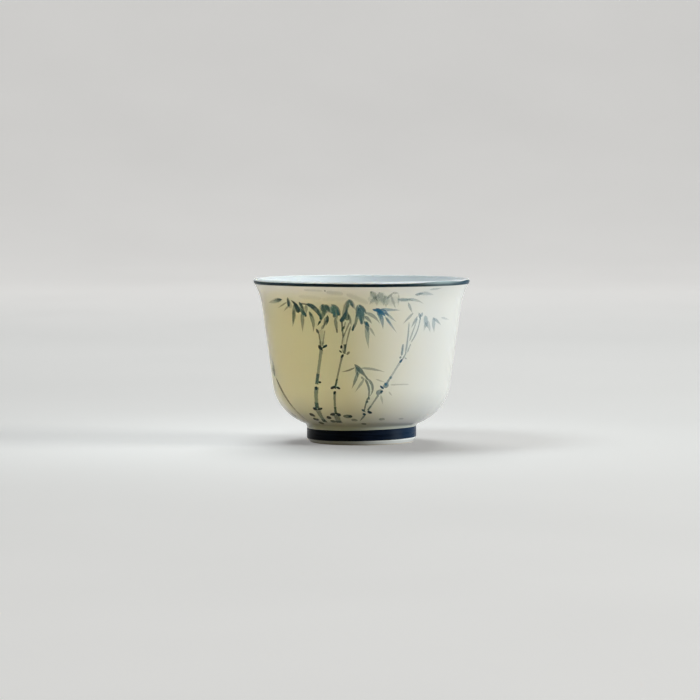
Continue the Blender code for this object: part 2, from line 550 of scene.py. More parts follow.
def unsteadyLine(piece):  # the upper edge slides round the lip, and the lower edge up and down its flank
    shape = lineSet
    top = math.radians(shape["top"])
    upperSeed, lowerSeed = shape["seeds"]
    worn = []
    for vertex in piece.data.vertices:
        turn = turnOf(vertex)
        spot = sectionOf(vertex) - lipCentre
        angle = math.atan2(spot.y, spot.x)
        share = max(0, (angle - flankAngle) / (top - flankAngle))
        if share:
            patches = (shape["lap"], shape["worn"])
            climb = sum(extra * bump(turn, middle, spread) for middle, spread, extra in patches)
            angle += share * (math.radians(climb) + waver(turn, upperSeed, shape["waver"]) / lipRadius)
            spot = spot.length * Vector((math.cos(angle), math.sin(angle)))
        else:
            spot.y += waver(turn, lowerSeed, shape["waver"])
        upward = shape["wornBelow"] + (1 - shape["wornBelow"]) * share
        worn.append(bump(turn, *shape["worn"][:2]) * upward)
        vertex.co = placed(spot + lipCentre, turn)
    setAttribute(piece, "worn", worn)


def underBand(height):  # the radius of what the band lies on
    if height > seatHeight:
        return max(footRadius, wallRadius(height))
    return footRadius - footShape["taperReach"] * max(0, 1 - height / footShape["taperHeight"])


def bandOutline():
    shape = bandSet
    rows, tall = shape["rows"], shape["high"] - shape["low"]
    heights = [shape["low"] + tall * row / rows for row in range(rows + 1)]
    outer = [Vector((underBand(height) + shape["lift"], height)) for height in heights]
    inner = [Vector((underBand(height) - shape["depth"], height)) for height in heights]
    return outer[::-1] + inner + [outer[-1]]


def unsteadyBand(piece):
    shape = bandSet
    middle = (shape["low"] + shape["high"]) / 2
    upperSeed, lowerSeed = shape["seeds"]
    for vertex in piece.data.vertices:
        turn = turnOf(vertex)
        radius, height = sectionOf(vertex)
        share = (height - middle) / (shape["high"] - middle)
        moved = height + shape["slope"] * math.sin(turn)
        moved += abs(share) * waver(turn, upperSeed if share > 0 else lowerSeed, shape["waver"])
        radius += underBand(moved) - underBand(height)
        vertex.co = placed(Vector((radius, moved)), turn)


# bluer cobalt towards the right: thinner there, and painted lighter on the side the key light falls on
def paintBluestAndLit(piece, bluestAndLit):
    setAttribute(piece, "bluestAndLit", [bump(turnOf(vertex), *bluestAndLit) for vertex in piece.data.vertices])


def cobaltFinish(name, ringSet):
    look = cobaltLook
    finish, tree, shader = newFinish(name, IOR=1.4, Specular_IOR_Level=ringSet["gloss"])
    place = addNode(tree, "TexCoord").outputs["Object"]
    stretched = addNode(tree, "Mapping", {"Scale": look["stretch"]}, {"Vector": place}).outputs[0]
    streaks = noise(tree, stretched, ringSet["streakScale"], 4, 0.6)
    laps = noise(tree, place, look["lapScale"], 2)
    strength = calculate(
        tree, "ADD",
        calculate(tree, "MULTIPLY", streaks, look["streakShare"]),
        calculate(tree, "MULTIPLY", laps, look["lapShare"]),
    )
    watered = mapRange(tree, strength, *look["thinEdge"], smooth=True)
    colour = mixColours(tree, watered, ringSet["dense"], ringSet["thin"])
    # blue towards the key light's side: thinner cobalt, and painted light
    colour = mixColours(tree, attribute(tree, "bluestAndLit"), colour, ringSet["blue"])
    colour = mixColours(tree, attribute(tree, "worn"), colour, look["worn"])
    tree.links.new(colour, shader.inputs["Base Color"])
    tree.links.new(mapRange(tree, streaks, *noiseSpan, *look["roughness"]), shader.inputs["Roughness"])
    uneven = addNode(tree, "Bump", {"Strength": 0.5, "Distance": look["ridge"]}, {"Height": streaks})
    tree.links.new(uneven.outputs[0], shader.inputs["Normal"])
    return finish


rimLine = turnedPiece("rimLine", lineOutline(), lineSet["segments"])
unsteadyLine(rimLine)
paintBluestAndLit(rimLine, lineSet["bluestAndLit"])
dress(rimLine, cobaltFinish("lipCobalt", lineSet), "cobalt_line", "rim_line")
footBand = turnedPiece("footBand", bandOutline(), bandSet["segments"])
unsteadyBand(footBand)
paintBluestAndLit(footBand, bandSet["bluestAndLit"])
dress(footBand, cobaltFinish("footCobalt", bandSet), "cobalt_band", "foot_band")
print("cobalt line and band laid on")

# Brush painting: bamboo on the front of the wall. Strokes are thin skins on the wall, in groups that share a
# root, (degrees round from the front, mm up the wall from its seat), and a tone: brown -1, green 0, blue 1.
# A stroke has its kind, its start in mm right of the root and above it, its heading (0 is to the right and 90
# up the wall), its length and its width in mm, how full the brush is, and how many degrees it bends to the
# left, if it does.

wallRises = [0.0]
for here, onward in zip(wallPath, wallPath[1:]):
    wallRises.append(wallRises[-1] + (onward - here).length)


def onWall(turn, rise, lift):
    place = min(max(bisect.bisect_right(wallRises, rise) - 1, 0), len(wallPath) - 2)
    along = (wallPath[place + 1] - wallPath[place]).normalized()
    spot = wallPath[place] + along * (rise - wallRises[place]) - leftOf(along) * lift
    return placed(spot, math.radians(turn))


def roundWall(rise):  # mm along the wall for each degree round it
    return math.radians(1) * -onWall(0, rise, 0).y / mm


strokeShapes = {  # share of the full width, along the stroke
    "leaf": lambda along: math.sin(math.pi * along ** 0.7) ** 1.1,
    "faded": lambda along: math.sin(math.pi * along ** 0.7),
    "drop": lambda along: math.sin(math.pi * along ** 0.45) ** 0.8,
    "stalk": lambda along: 0.8 + 0.2 * abs(2 * along - 1) ** 2.5,
    "line": lambda along: min(1, 8 * along + 0.2, 8 * (1 - along) + 0.2) * (1 - 0.25 * along),
    "dab": lambda along: math.sqrt(max(0, 1 - (2 * along - 1) ** 2)),
    "wash": lambda along: math.sqrt(max(0, 1 - (2 * along - 1) ** 4)),
}
softKinds = ("faded", "wash")  # the other kinds have crisp edges
strokeSet = {
    "spread": 1.2,  # the soft edge lies outside the width that is given
    "least": 0.03,
    "rows": 4,
    "longestStep": 0.3,
    "steps": (8, 60),
    "lift": 0.03,
    "liftStep": 0.0007,
    "skin": 0.12,
    "margin": 0.04,  # round each stroke on the sheet that they are laid out on
}


def brushStroke(number, cells, root, tone, kind, start, heading, length, width, ink, bend=0):
    fewest, most = strokeSet["steps"]
    steps = max(fewest, min(most, math.ceil(length / strokeSet["longestStep"])))
    bpy.ops.mesh.primitive_grid_add(x_subdivisions=steps, y_subdivisions=strokeSet["rows"], size=1)
    stroke = bpy.context.object
    lift = strokeSet["lift"] + strokeSet["liftStep"] * number
    for vertex in stroke.data.vertices:
        along, across = vertex.co.x + 0.5, 2 * vertex.co.y
        turned = math.radians(bend) * along / 2  # an even bend, so the chord has turned half as far
        chord = length * along * (math.sin(turned) / turned if turned else 1)
        towards = math.radians(heading) + turned
        ahead = Vector((math.cos(towards + turned), math.sin(towards + turned)))
        half = max(strokeSet["least"], width * strokeSet["spread"] * strokeShapes[kind](along)) / 2
        spot = Vector(start) + chord * Vector((math.cos(towards), math.sin(towards)))
        spot += leftOf(ahead) * across * half
        vertex.co = onWall(root[0] + spot.x / roundWall(root[1]), root[1] + spot.y, lift)
    values = {"ink": ink, "tone": tone, "stroke": number, "soft": float(kind in softKinds)}
    for name, value in values.items():
        setAttribute(stroke, name, [value] * len(stroke.data.vertices))
    sheet = stroke.data.uv_layers.new(name="OFBake")
    margin = strokeSet["margin"]
    corner = Vector((number % cells + margin, number // cells + margin))
    for spot in sheet.data:
        spot.uv = (corner + spot.uv * (1 - 2 * margin)) / cells
    return stroke


def paintedPiece(name, groups):
    bpy.ops.object.select_all(action="DESELECT")
    rows = [(root, tone, *stroke) for root, tone, strokes in groups for stroke in strokes]
    cells = math.ceil(math.sqrt(len(rows)))
    strokes = [brushStroke(number, cells, *row) for number, row in enumerate(rows)]
    for stroke in strokes:
        stroke.select_set(True)
    bpy.context.view_layer.objects.active = strokes[0]
    bpy.ops.object.join()
    piece = bpy.context.object
    piece.name = piece.data.name = name
    skin = piece.modifiers.new("skin", "SOLIDIFY")
    skin.thickness = strokeSet["skin"] * mm
    skin.offset = -1
    bpy.ops.object.modifier_apply(modifier=skin.name)
    bpy.ops.object.shade_smooth_by_angle(angle=sharpAngle)
    piece.visible_shadow = False
    print(name, "painted with", len(strokes), "strokes")
    return piece


leafGroups = [
    ((-50.5, 44.6), 0.3, [  # far left tip
        ("leaf", (0, 0), -171, 9.1, 1.5, 0.55),
        ("leaf", (-0.4, 0), -172, 4.8, 1.2, 0.5),
        ("leaf", (0, 0), -174, 3.4, 0.5, 2.4),
        ("dab", (2.4, -0.4), -60, 2.6, 1.7, 0.35),
        ("leaf", (2.7, 0.8), -92, 3.6, 1.25, 1.0),
        ("drop", (2.5, -2.2), 90, 2.7, 1.1, 1.8),
        ("leaf", (2.0, -0.8), -158, 5.4, 0.55, 0.9),
        ("leaf", (2.7, -1.8), -147, 3.4, 0.65, 0.7),
    ]),
    ((-42, 43.5), 0.25, [  # first hanging leaves
        ("leaf", (0.2, -0.2), -93, 7.3, 1.6, 1.0, -18),
        ("leaf", (0.2, -1.7), -105, 5.4, 0.95, 0.8),
        ("leaf", (0.2, 0.3), -48, 3.8, 1.4, 0.8, -40),
        ("drop", (1.8, -2.9), 96, 4.8, 1.7, 3.6, 55),
        ("leaf", (2.2, -1.0), -62, 3.4, 0.9, 0.9),
    ]),
    ((-36.5, 43.5), 0.35, [  # second hanging leaves
        ("leaf", (-0.3, -1.7), -52, 2.6, 1.15, 1.1),
        ("leaf", (0.3, -2.2), -95, 6.6, 1.45, 1.0),
        ("leaf", (-0.5, 0.5), -62, 5.1, 1.25, 1.3, -8),
        ("leaf", (-0.6, 0.5), -58, 2.8, 1.0, 1.9, -8),
        ("drop", (1.6, -4.0), 114, 2.2, 1.0, 2.2),
        ("line", (-0.5, 0), -3, 3.3, 0.5, 2.0),
        ("leaf", (1.9, -0.2), -94, 3.0, 1.2, 0.9),
    ]),
    ((-32.1, 43.2), 0.35, [  # the arch over them
        ("leaf", (0.3, -2.0), -55, 6.7, 1.35, 1.2, -52),
        ("leaf", (0.3, -2.0), -56, 2.4, 0.75, 2.0),
        ("leaf", (-0.5, 0.2), -6, 7.6, 1.5, 2.0, -80),
        ("leaf", (-0.3, 0), -9, 3.8, 0.85, 2.0, -25),
        ("drop", (4.3, -4.6), 90, 2.2, 0.85, 2.2),
        ("leaf", (3.4, -1.0), -62, 4.2, 1.5, 0.8, -25),
    ]),
    ((-22.5, 43.4), 0.3, [  # over the left stalk
        ("dab", (-1.1, -0.9), -12, 3.6, 2.2, 0.6),
        ("leaf", (0, 0.2), -68, 4.0, 2.05, 0.85, -35),
        ("leaf", (0.8, -0.4), -34, 3.1, 1.1, 1.4, -35),
        ("leaf", (-0.3, 0), -62, 5.1, 1.35, 1.1, -65),
        ("leaf", (0.8, 0), -44, 3.0, 1.25, 1.3, -38),
        ("dab", (-0.5, -0.4), 14, 0.8, 0.5, 2.0),
        ("leaf", (-0.8, -4.8), -127, 2.2, 0.65, 3.0),
        ("leaf", (1.1, -3.6), -109, 3.4, 1.15, 1.0),
        ("leaf", (1.3, -3.2), -73, 3.4, 0.8, 2.6, -55),
        ("leaf", (0, -6.2), -121, 2.1, 0.75, 0.7),
    ]),
    ((-17.5, 43), 0.6, [  # between the two stalks
        ("leaf", (0, 0), -43, 4.3, 2.5, 0.7, -48),
        ("leaf", (0.4, -0.2), -60, 4.4, 2.0, 0.6, -24),
        ("leaf", (-0.3, -0.4), -45, 3.5, 1.45, 0.8, -35),
        ("leaf", (0, 0.4), -15, 5.1, 1.2, 1.1, -80),
        ("drop", (0.8, -3.6), 83, 2.2, 0.9, 1.6),
        ("drop", (2.4, -3.0), 103, 2.5, 0.95, 1.8),
        ("leaf", (1.1, -3.4), -84, 5.0, 1.05, 1.2),
        ("drop", (1.6, -8.2), 90, 1.8, 0.6, 1.1),
    ]),
    ((-7.5, 44.4), 0.4, [  # over the middle stalk
        ("leaf", (0.2, 0.7), -111, 6.4, 1.7, 0.9),
        ("leaf", (0.1, 0.4), -104, 4.6, 0.9, 1.2),
        ("drop", (-0.5, -5.8), 90, 3.4, 1.45, 1.7),
        ("drop", (-2.7, -6.2), 40, 4.7, 1.35, 2.6, 45),
        ("leaf", (0.1, 0.7), -50, 3.8, 1.3, 0.9, -18),
        ("leaf", (0.2, 0.5), -55, 3.0, 0.8, 1.5, -18),
        ("leaf", (0, -3.8), -77, 3.7, 0.85, 1.1),
        ("leaf", (2.4, -3.6), -86, 5.8, 0.9, 1.4, -35),
        ("drop", (1.1, -9.0), 77, 2.5, 0.7, 2.7),
    ]),
    ((-1.5, 43.2), 0.6, [  # dark leaves at the front
        ("leaf", (0, 0), -78, 5.6, 2.5, 0.65, -12),
        ("dab", (0.2, -0.6), -82, 4.6, 2.6, 0.4),
        ("leaf", (-0.5, 0.2), -94, 4.0, 1.05, 1.2),
        ("leaf", (0, -0.6), -81, 5.4, 1.2, 1.1),
        ("leaf", (1.1, -1.2), -86, 3.8, 0.75, 1.0),
        ("drop", (0.8, -5.8), 95, 2.8, 0.95, 1.3),
        ("leaf", (-0.3, 0.2), -27, 4.0, 1.0, 1.7, -48),
        ("leaf", (1.6, -2.2), -9, 6.2, 1.05, 0.8, -55),
        ("leaf", (1.4, -3.2), -28, 3.5, 1.0, 1.0, -32),
        ("leaf", (2.4, -4.8), -92, 8.5, 1.45, 0.75, 12),
        ("leaf", (2.2, -4.8), -81, 3.5, 1.35, 1.0),
        ("leaf", (1.4, -4.8), -43, 2.6, 0.9, 1.8),
        ("leaf", (3.2, -6.6), -58, 3.5, 0.7, 0.6),
    ]),
    ((8.5, 42), 1, [  # blue leaves
        ("leaf", (0.5, 0), -3, 7.0, 0.85, 0.9),
        ("leaf", (2.2, -0.8), -38, 5.2, 0.75, 0.65),
        ("leaf", (2.4, -2.2), -51, 6.5, 0.75, 0.8),
        ("leaf", (2.7, -2.4), -52, 3.0, 0.65, 0.8),
        ("leaf", (0, 0), -56, 6.5, 1.4, 1.1, -32),
        ("leaf", (0, 0.2), -58, 3.6, 1.5, 1.1, -20),
        ("leaf", (1.2, 0), -34, 3.4, 1.2, 1.2, -12),
        ("leaf", (-0.5, 0.2), -27, 4.1, 1.3, 2.4, -20),
        ("leaf", (-1.4, 0), -18, 2.6, 0.7, 2.0),
    ]),
    ((-15, 46), 0.2, [  # washes under the lip
        ("wash", (-9.6, 2.0), -2, 6.3, 0.9, 0.25),
        ("wash", (-2.5, 1.4), -6, 5.3, 1.7, 0.25),
        ("wash", (-12.1, -0.2), -4, 8.0, 1.65, 0.15),
        ("wash", (-4.1, -1.0), 2, 8.0, 1.6, 0.1),
        ("wash", (3.6, 0.8), -24, 7.2, 1.9, 0.2),
        ("wash", (9.9, -0.8), -3, 9.9, 3.75, 0.24),
        ("dab", (-3.0, 1.8), 0, 0.6, 0.6, 0.9),
    ]),
    ((9, 46), 0, [  # faded leaves
        ("faded", (-2.5, 1.8), -50, 4.1, 1.8, 0.75, -12),
        ("dab", (-2.5, 1.4), -36, 0.7, 0.6, 0.6),
        ("faded", (-0.6, 0), -130, 3.4, 1.4, 0.4),
        ("faded", (0, 1.4), -54, 4.7, 2.6, 0.55, -25),
        ("faded", (-0.3, 0.8), -98, 3.8, 2.2, 0.35, 16),
        ("faded", (1.9, 0.2), -60, 3.8, 2.2, 0.35, -45),
        ("leaf", (2.7, -0.8), 56, 2.9, 0.8, 0.65, -14),
        ("faded", (4.1, 1.2), -5, 2.2, 0.9, 0.5),
        ("faded", (3.8, 0.2), -66, 4.6, 1.0, 0.45),
        ("faded", (6.0, 0.8), -72, 4.1, 0.85, 0.35, -28),
    ]),
    ((30, 44), 0.4, [  # right hand leaves
        ("faded", (-5.4, 0.9), -3, 5.4, 1.6, 0.3),
        ("leaf", (-5.2, 1.0), -3, 4.4, 1.0, 0.55),
        ("leaf", (-2.7, 1.0), 2, 6.9, 0.85, 0.5, -32),
        ("leaf", (0, 2.4), 7, 3.0, 0.8, 0.8),
        ("faded", (1.1, 2.8), 2, 6.0, 1.5, 0.45, -16),
        ("leaf", (4.7, 4.0), 5, 5.0, 0.7, 0.35),
        ("leaf", (-1.9, 0), -61, 3.9, 0.85, 0.65),
        ("leaf", (0.3, -3.2), -136, 4.9, 0.8, 0.65),
        ("leaf", (2.2, -3.2), -66, 2.6, 0.9, 0.75),
        ("leaf", (1.9, -4.2), -120, 4.4, 0.8, 0.65),
        ("faded", (4.6, -4.0), -76, 4.4, 2.4, 0.2),
        ("leaf", (4.7, -4.2), -68, 4.2, 1.7, 0.4),
        ("leaf", (5.5, -6.0), -105, 3.1, 1.1, 0.4),
        ("leaf", (6.0, -5.8), -66, 3.9, 1.3, 0.42),
        ("leaf", (8.2, -4.8), -76, 4.8, 1.5, 0.5),
        ("leaf", (8.2, -5.0), -22, 5.0, 0.85, 0.55, -14),
        ("leaf", (12.0, -5.0), -9, 5.2, 0.65, 0.3),
    ]),
]

# A stalk's "lengths" are (width, ink) from joint to joint, and its "marks" are strokes round the joint with
# that number.

stalkSets = [
    {  # left stalk
        "tone": 0.35,
        "joints": [(-32.5, 4.2), (-32.6, 10.6), (-29.8, 18.6), (-24.7, 30.2), (-24.2, 36)],
        "lengths": [(1.55, 1.05), (1.5, 1.2), (1.2, 1.05), (1.9, 0.28)],
        "marks": {
            1: [
                ("leaf", (-1.6, 0.6), -22, 1.9, 1.15, 5.4),
                ("leaf", (1.9, 0.8), -155, 2.7, 0.85, 5.4),
            ],
            2: [
                ("dab", (0.7, 1.0), 8, 1.0, 0.65, 4.3),
                ("dab", (-0.1, -0.2), -100, 1.2, 0.95, 4.3),
            ],
            3: [
                ("leaf", (-1.0, 0.8), -50, 2.2, 1.15, 5.2),
                ("leaf", (1.9, 1.0), -146, 2.5, 0.7, 4.1),
                ("dab", (1.1, 0.4), 30, 0.9, 0.7, 3.5),
            ],
            4: [
                ("line", (-0.9, -1.4), -82, 3.9, 0.5, 0.85),
                ("line", (1.2, -0.4), -102, 4.9, 0.45, 0.65),
                ("leaf", (-1.7, 0), -61, 2.1, 0.85, 2.1),
                ("leaf", (0.4, -0.4), 65, 4.4, 0.6, 0.5),
            ],
        },
    },
    {  # middle stalk
        "tone": 0.25,
        "joints": [(-19.3, 4.2), (-19, 9.2), (-17.4, 17.4), (-11.6, 28.4), (-10.2, 35.4)],
        "lengths": [(1.95, 0.95), (0.8, 1.3), (0.7, 1.25), (0.8, 0.2)],
        "marks": {
            1: [
                ("leaf", (-2.1, -0.6), 22, 2.6, 1.05, 4.7),
                ("leaf", (1.4, -0.8), 140, 2.2, 1.25, 4.5),
            ],
            2: [
                ("dab", (-1.3, 0.4), 28, 1.7, 0.8, 5.4),
                ("dab", (0.5, 1.0), -26, 1.4, 0.65, 4.5),
                ("dab", (0.2, -0.2), -113, 1.3, 0.7, 4.7),
            ],
            3: [
                ("stalk", (0.8, 3.0), -85, 2.9, 0.85, 2.0, -22),
                ("dab", (-0.2, 2.8), -102, 1.2, 0.65, 4.7),
                ("dab", (-1.0, 1.2), -45, 1.1, 0.45, 3.7),
                ("dab", (2.2, 0.8), -136, 1.4, 0.7, 1.5),
                ("dab", (0.3, 0), -123, 1.4, 0.7, 5.2),
            ],
            4: [
                ("line", (-0.7, 3.2), -87, 5.2, 0.6, 1.7),
                ("leaf", (0.1, 1.6), -121, 2.1, 0.7, 2.0),
                ("line", (-0.4, -1.6), -102, 2.7, 0.5, 0.9),
                ("line", (1.7, 2.8), -114, 5.3, 0.5, 1.0),
                ("line", (2.0, 1.6), -108, 7.6, 0.55, 1.1, 8),
                ("line", (0.4, 2.8), -103, 2.3, 0.45, 0.8),
            ],
        },
    },
    {  # foot of the leaning stalk
        "tone": 0.5,
        "joints": [(3.6, 10.3), (11, 16.3)],
        "lengths": [(0.65, 1.0)],
        "marks": {
            0: [
                ("leaf", (-0.3, -0.9), -118, 4.1, 0.7, 1.3),
                ("dab", (-1.2, -0.7), -43, 1.2, 0.85, 3.3),
                ("leaf", (-1.6, 0.9), -43, 1.8, 0.7, 2.1),
                ("dab", (0.1, 0.1), -28, 1.7, 0.9, 4.3),
            ],
            1: [
                ("dab", (-0.9, -0.1), 32, 2.3, 1.6, 1.2),
                ("dab", (0.3, 0.5), 22, 1.0, 0.65, 3.3),
                ("leaf", (0.5, -0.3), -73, 3.3, 0.65, 0.45),
                ("leaf", (2.9, 0.7), -49, 1.9, 0.5, 0.4),
            ],
        },
    },
    {  # top of the leaning stalk
        "tone": 0.75,
        "joints": [(15.4, 19.2), (24, 26)],
        "lengths": [(0.75, 0.6)],
        "marks": {
            0: [
                ("dab", (-0.7, -1.0), 48, 1.9, 1.6, 1.3),
                ("dab", (-0.5, -0.2), 28, 0.9, 0.8, 1.8),
                ("dab", (-1.9, -0.4), -39, 1.6, 0.6, 4.3),
                ("dab", (1.1, 1.6), 58, 1.0, 0.75, 0.55),
                ("line", (1.3, -0.2), 2, 6.2, 0.5, 0.35, -4),
            ],
            1: [
                ("dab", (-0.3, -0.4), 52, 1.5, 0.75, 2.2),
                ("line", (0.3, 0.4), 48, 3.0, 0.5, 0.9, 25),
                ("dab", (-0.3, 1.0), 50, 0.8, 0.65, 1.3),
                ("dab", (1.3, 1.2), -28, 0.9, 0.5, 0.7),
                ("line", (0.3, 1.8), 86, 3.6, 0.7, 1.3),
                ("line", (1.5, 2.6), 82, 9.5, 0.6, 0.75, 10),
                ("line", (3.1, 5.8), 53, 9.2, 0.5, 0.75, 42),
                ("dab", (6.0, 13.4), 80, 1.5, 0.7, 0.6),
                ("line", (2.1, 2.8), 69, 2.8, 0.55, 0.6),
                ("line", (2.6, 6.2), 73, 7.3, 0.55, 0.55),
            ],
        },
    },
]
segmentSet = {"gap": 0.45, "shade": 0.3}  # mm at a joint, and the share of a length that is drawn twice

shootGroups = [
    ((-3.5, 24.6), 0.45, [  # young shoot
        ("leaf", (0, 0), -64, 3.4, 1.45, 1.0, -35),
        ("leaf", (-0.5, 0.8), -47, 6.1, 1.3, 1.7, -3),
        ("dab", (2.8, -2.8), -57, 1.4, 0.7, 0.7),
        ("dab", (1.5, -3.0), -46, 1.1, 0.7, 0.9),
        ("line", (2.7, -3.8), -55, 5.9, 0.75, 1.4, -48),
        ("line", (3.7, -9.4), -113, 4.8, 0.6, 1.6, 20),
        ("dab", (3.8, -9.0), -78, 1.2, 0.65, 1.8),
        ("dab", (3.6, -10.4), -108, 0.9, 0.65, 1.8),
        ("leaf", (-0.3, -0.2), -150, 4.6, 0.55, 1.3, -24),
        ("leaf", (1.3, -0.4), -1, 7.8, 0.75, 0.75, -18),
        ("leaf", (0.5, -1.4), -103, 5.8, 0.95, 1.1, -14),
        ("leaf", (2.6, -3.4), -121, 5.4, 0.8, 0.75, -8),
        ("leaf", (3.0, -3.5), -25, 6.8, 0.85, 1.3, -110),
        ("leaf", (5.9, -3.8), -18, 3.2, 0.5, 0.4),
    ]),
]

groundGroups = [
    ((-74, 22), 0.4, [  # blades of grass at the left
        ("leaf", (0.4, -1.6), 108, 6.2, 1.7, 0.9, -20),
        ("leaf", (0.2, -1.6), 134, 5.6, 1.6, 0.8, -24),
        ("leaf", (0.6, -1.4), 84, 4.6, 1.4, 0.6, 14),
    ]),
    ((-74, 22), -1, [  # and their stem
        ("line", (0.5, -1.4), -37, 19.5, 0.9, 0.7, -44),
        ("leaf", (1.2, -2.0), -39, 15.0, 1.3, 0.5, -36),
    ]),
    ((-30, 6.5), 0, [  # pebbles
        ("dab", (-13.4, 1.9), -129, 2.6, 1.6, 0.6),
        ("dab", (-14.4, 0.1), -27, 1.3, 2.35, 0.5),
        ("dab", (-4.8, 2.3), -29, 2.1, 1.4, 3.7),
        ("dab", (-4.8, -0.1), -10, 2.2, 1.35, 3.7),
        ("dab", (-4.2, -2.3), -10, 2.2, 1.8, 2.0),
        ("dab", (0.8, 1.3), -30, 1.6, 1.45, 4.1),
        ("dab", (1.2, -0.9), -6, 2.0, 1.5, 2.0),
        ("dab", (6.0, 1.7), 0, 2.8, 1.55, 1.8),
        ("dab", (7.6, 1.7), 0, 1.0, 1.25, 1.5),
        ("dab", (8.2, 0.1), -11, 2.0, 1.4, 0.9),
        ("dab", (11.2, -2.1), -18, 1.9, 1.2, 0.9),
        ("dab", (16.4, 0.3), 0, 2.0, 1.25, 0.7),
        ("dab", (22.8, 0.3), -6, 2.0, 0.9, 0.4),
    ]),
]


def stalkGroups():  # each length is drawn down from its upper joint, and again where it is darker
    gap, shade = segmentSet["gap"], segmentSet["shade"]
    groups = []
    for stalk in stalkSets:
        joints = stalk["joints"]
        for low, high, (width, ink) in zip(joints, joints[1:], stalk["lengths"]):
            run = Vector(((high[0] - low[0]) * roundWall(low[1]), high[1] - low[1]))
            heading = math.degrees(math.atan2(-run.y, -run.x))
            length = run.length - 2 * gap
            start = run * (1 - gap / run.length)
            shaded = run * (gap + shade * length) / run.length
            strokes = [
                ("stalk", start, heading, length, width, ink),
                ("stalk", shaded, heading, shade * length, width, ink),
            ]
            groups.append((low, stalk["tone"], strokes))
        groups += [(joints[number], stalk["tone"], marks) for number, marks in stalk["marks"].items()]
    return groups


inkLook = {
    "greenStop": (0.98, 0.62),  # green's loss as a share of red's, from the brownest tone to the bluest
    "blueStop": (1.2, 0.32),
    "under": 0.6,  # the porcelain that shows through
    "edgeScale": 1500,
    "ragged": 0.5,
    "softEdge": (0.5, 0.1),
    "pool": (0.9, 1.15),  # from the middle of a stroke to where the ink gathers near its edge
    "poolEdge": (0.15, 0.7),
    "hairs": (0.62, 1.3),
    "hairScale": (2.2, 7.0),  # along and across a stroke
    "dryTip": 0.75,
    "dryFrom": 0.55,  # share of the stroke's length
    "leastCover": 0.02,
    "red": 0.002,
}


def inkFinish():  # ink stops red most and blue least, so a thin stroke is pale and a full one nearly black
    look = inkLook
    finish, tree, shader = newFinish("brushedCobalt", IOR=1.5, Roughness=0.2, Specular_IOR_Level=0.3)
    place = addNode(tree, "TexCoord").outputs["Object"]
    sheet = addNode(tree, "UVMap", uv_map="UVMap").outputs[0]
    spot = addNode(tree, "SeparateXYZ", links={"Vector": sheet})
    along, side = spot.outputs["X"], spot.outputs["Y"]
    across = calculate(tree, "ABSOLUTE", mapRange(tree, side, 0, 1, -1, 1))
    grain = calculate(tree, "SUBTRACT", noise(tree, place, look["edgeScale"], 2), 0.5)
    edge = calculate(tree, "ADD", across, calculate(tree, "MULTIPLY", grain, look["ragged"]))
    crisp, blurred = (mapRange(tree, edge, 1.0, start, smooth=True) for start in look["softEdge"])
    soft = attribute(tree, "soft")
    body = calculate(
        tree, "ADD",
        calculate(tree, "MULTIPLY", blurred, soft),
        calculate(tree, "MULTIPLY", crisp, calculate(tree, "SUBTRACT", 1.0, soft)),
    )
    lengthScale, widthScale = look["hairScale"]
    brush = addNode(
        tree, "CombineXYZ",
        links={
            "X": calculate(tree, "MULTIPLY", along, lengthScale),
            "Y": calculate(tree, "MULTIPLY", side, widthScale),
            "Z": attribute(tree, "stroke"),
        },
    ).outputs[0]
    hairs = mapRange(tree, noise(tree, brush, 1.0, 3, 0.6), *noiseSpan, *look["hairs"])
    spread = calculate(tree, "MULTIPLY", calculate(tree, "SUBTRACT", 1.0, hairs), soft)
    hairs = calculate(tree, "ADD", hairs, spread)
    pool = mapRange(tree, across, *look["poolEdge"], *look["pool"])
    dry = mapRange(tree, along, look["dryFrom"], 1.0, 1.0, look["dryTip"])
    load = attribute(tree, "ink")
    for share in (hairs, pool, dry, body):
        load = calculate(tree, "MULTIPLY", load, share)
    tone = attribute(tree, "tone")
    passes = []
    stops = [mapRange(tree, tone, -1, 1, *look[name]) for name in ("greenStop", "blueStop")]
    for stop in (1.0, *stops):
        lost = calculate(tree, "MULTIPLY", calculate(tree, "MULTIPLY", load, stop), -1.0)
        passes.append(calculate(tree, "EXPONENT", lost))
    cover = calculate(tree, "SUBTRACT", 1.0, passes[0], clamp=True)
    tree.links.new(cover, shader.inputs["Alpha"])
    shown = calculate(tree, "DIVIDE", look["under"], calculate(tree, "MAXIMUM", cover, look["leastCover"]))
    tints = [
        calculate(tree, "MULTIPLY", calculate(tree, "SUBTRACT", light, passes[0]), shown, clamp=True)
        for light in passes[1:]
    ]
    colour = addNode(tree, "CombineColor", {"Red": look["red"]}, {"Green": tints[0], "Blue": tints[1]})
    tree.links.new(colour.outputs[0], shader.inputs["Base Color"])
    return finish


brushedCobalt = inkFinish()
paintings = {
    "bambooLeaves": leafGroups,
    "bambooStalks": stalkGroups() + shootGroups,
    "groundStrokes": groundGroups,
}
for pieceName, groups in paintings.items():
    dress(paintedPiece(pieceName, groups), brushedCobalt, "cobalt_line")

# Floor, light and camera

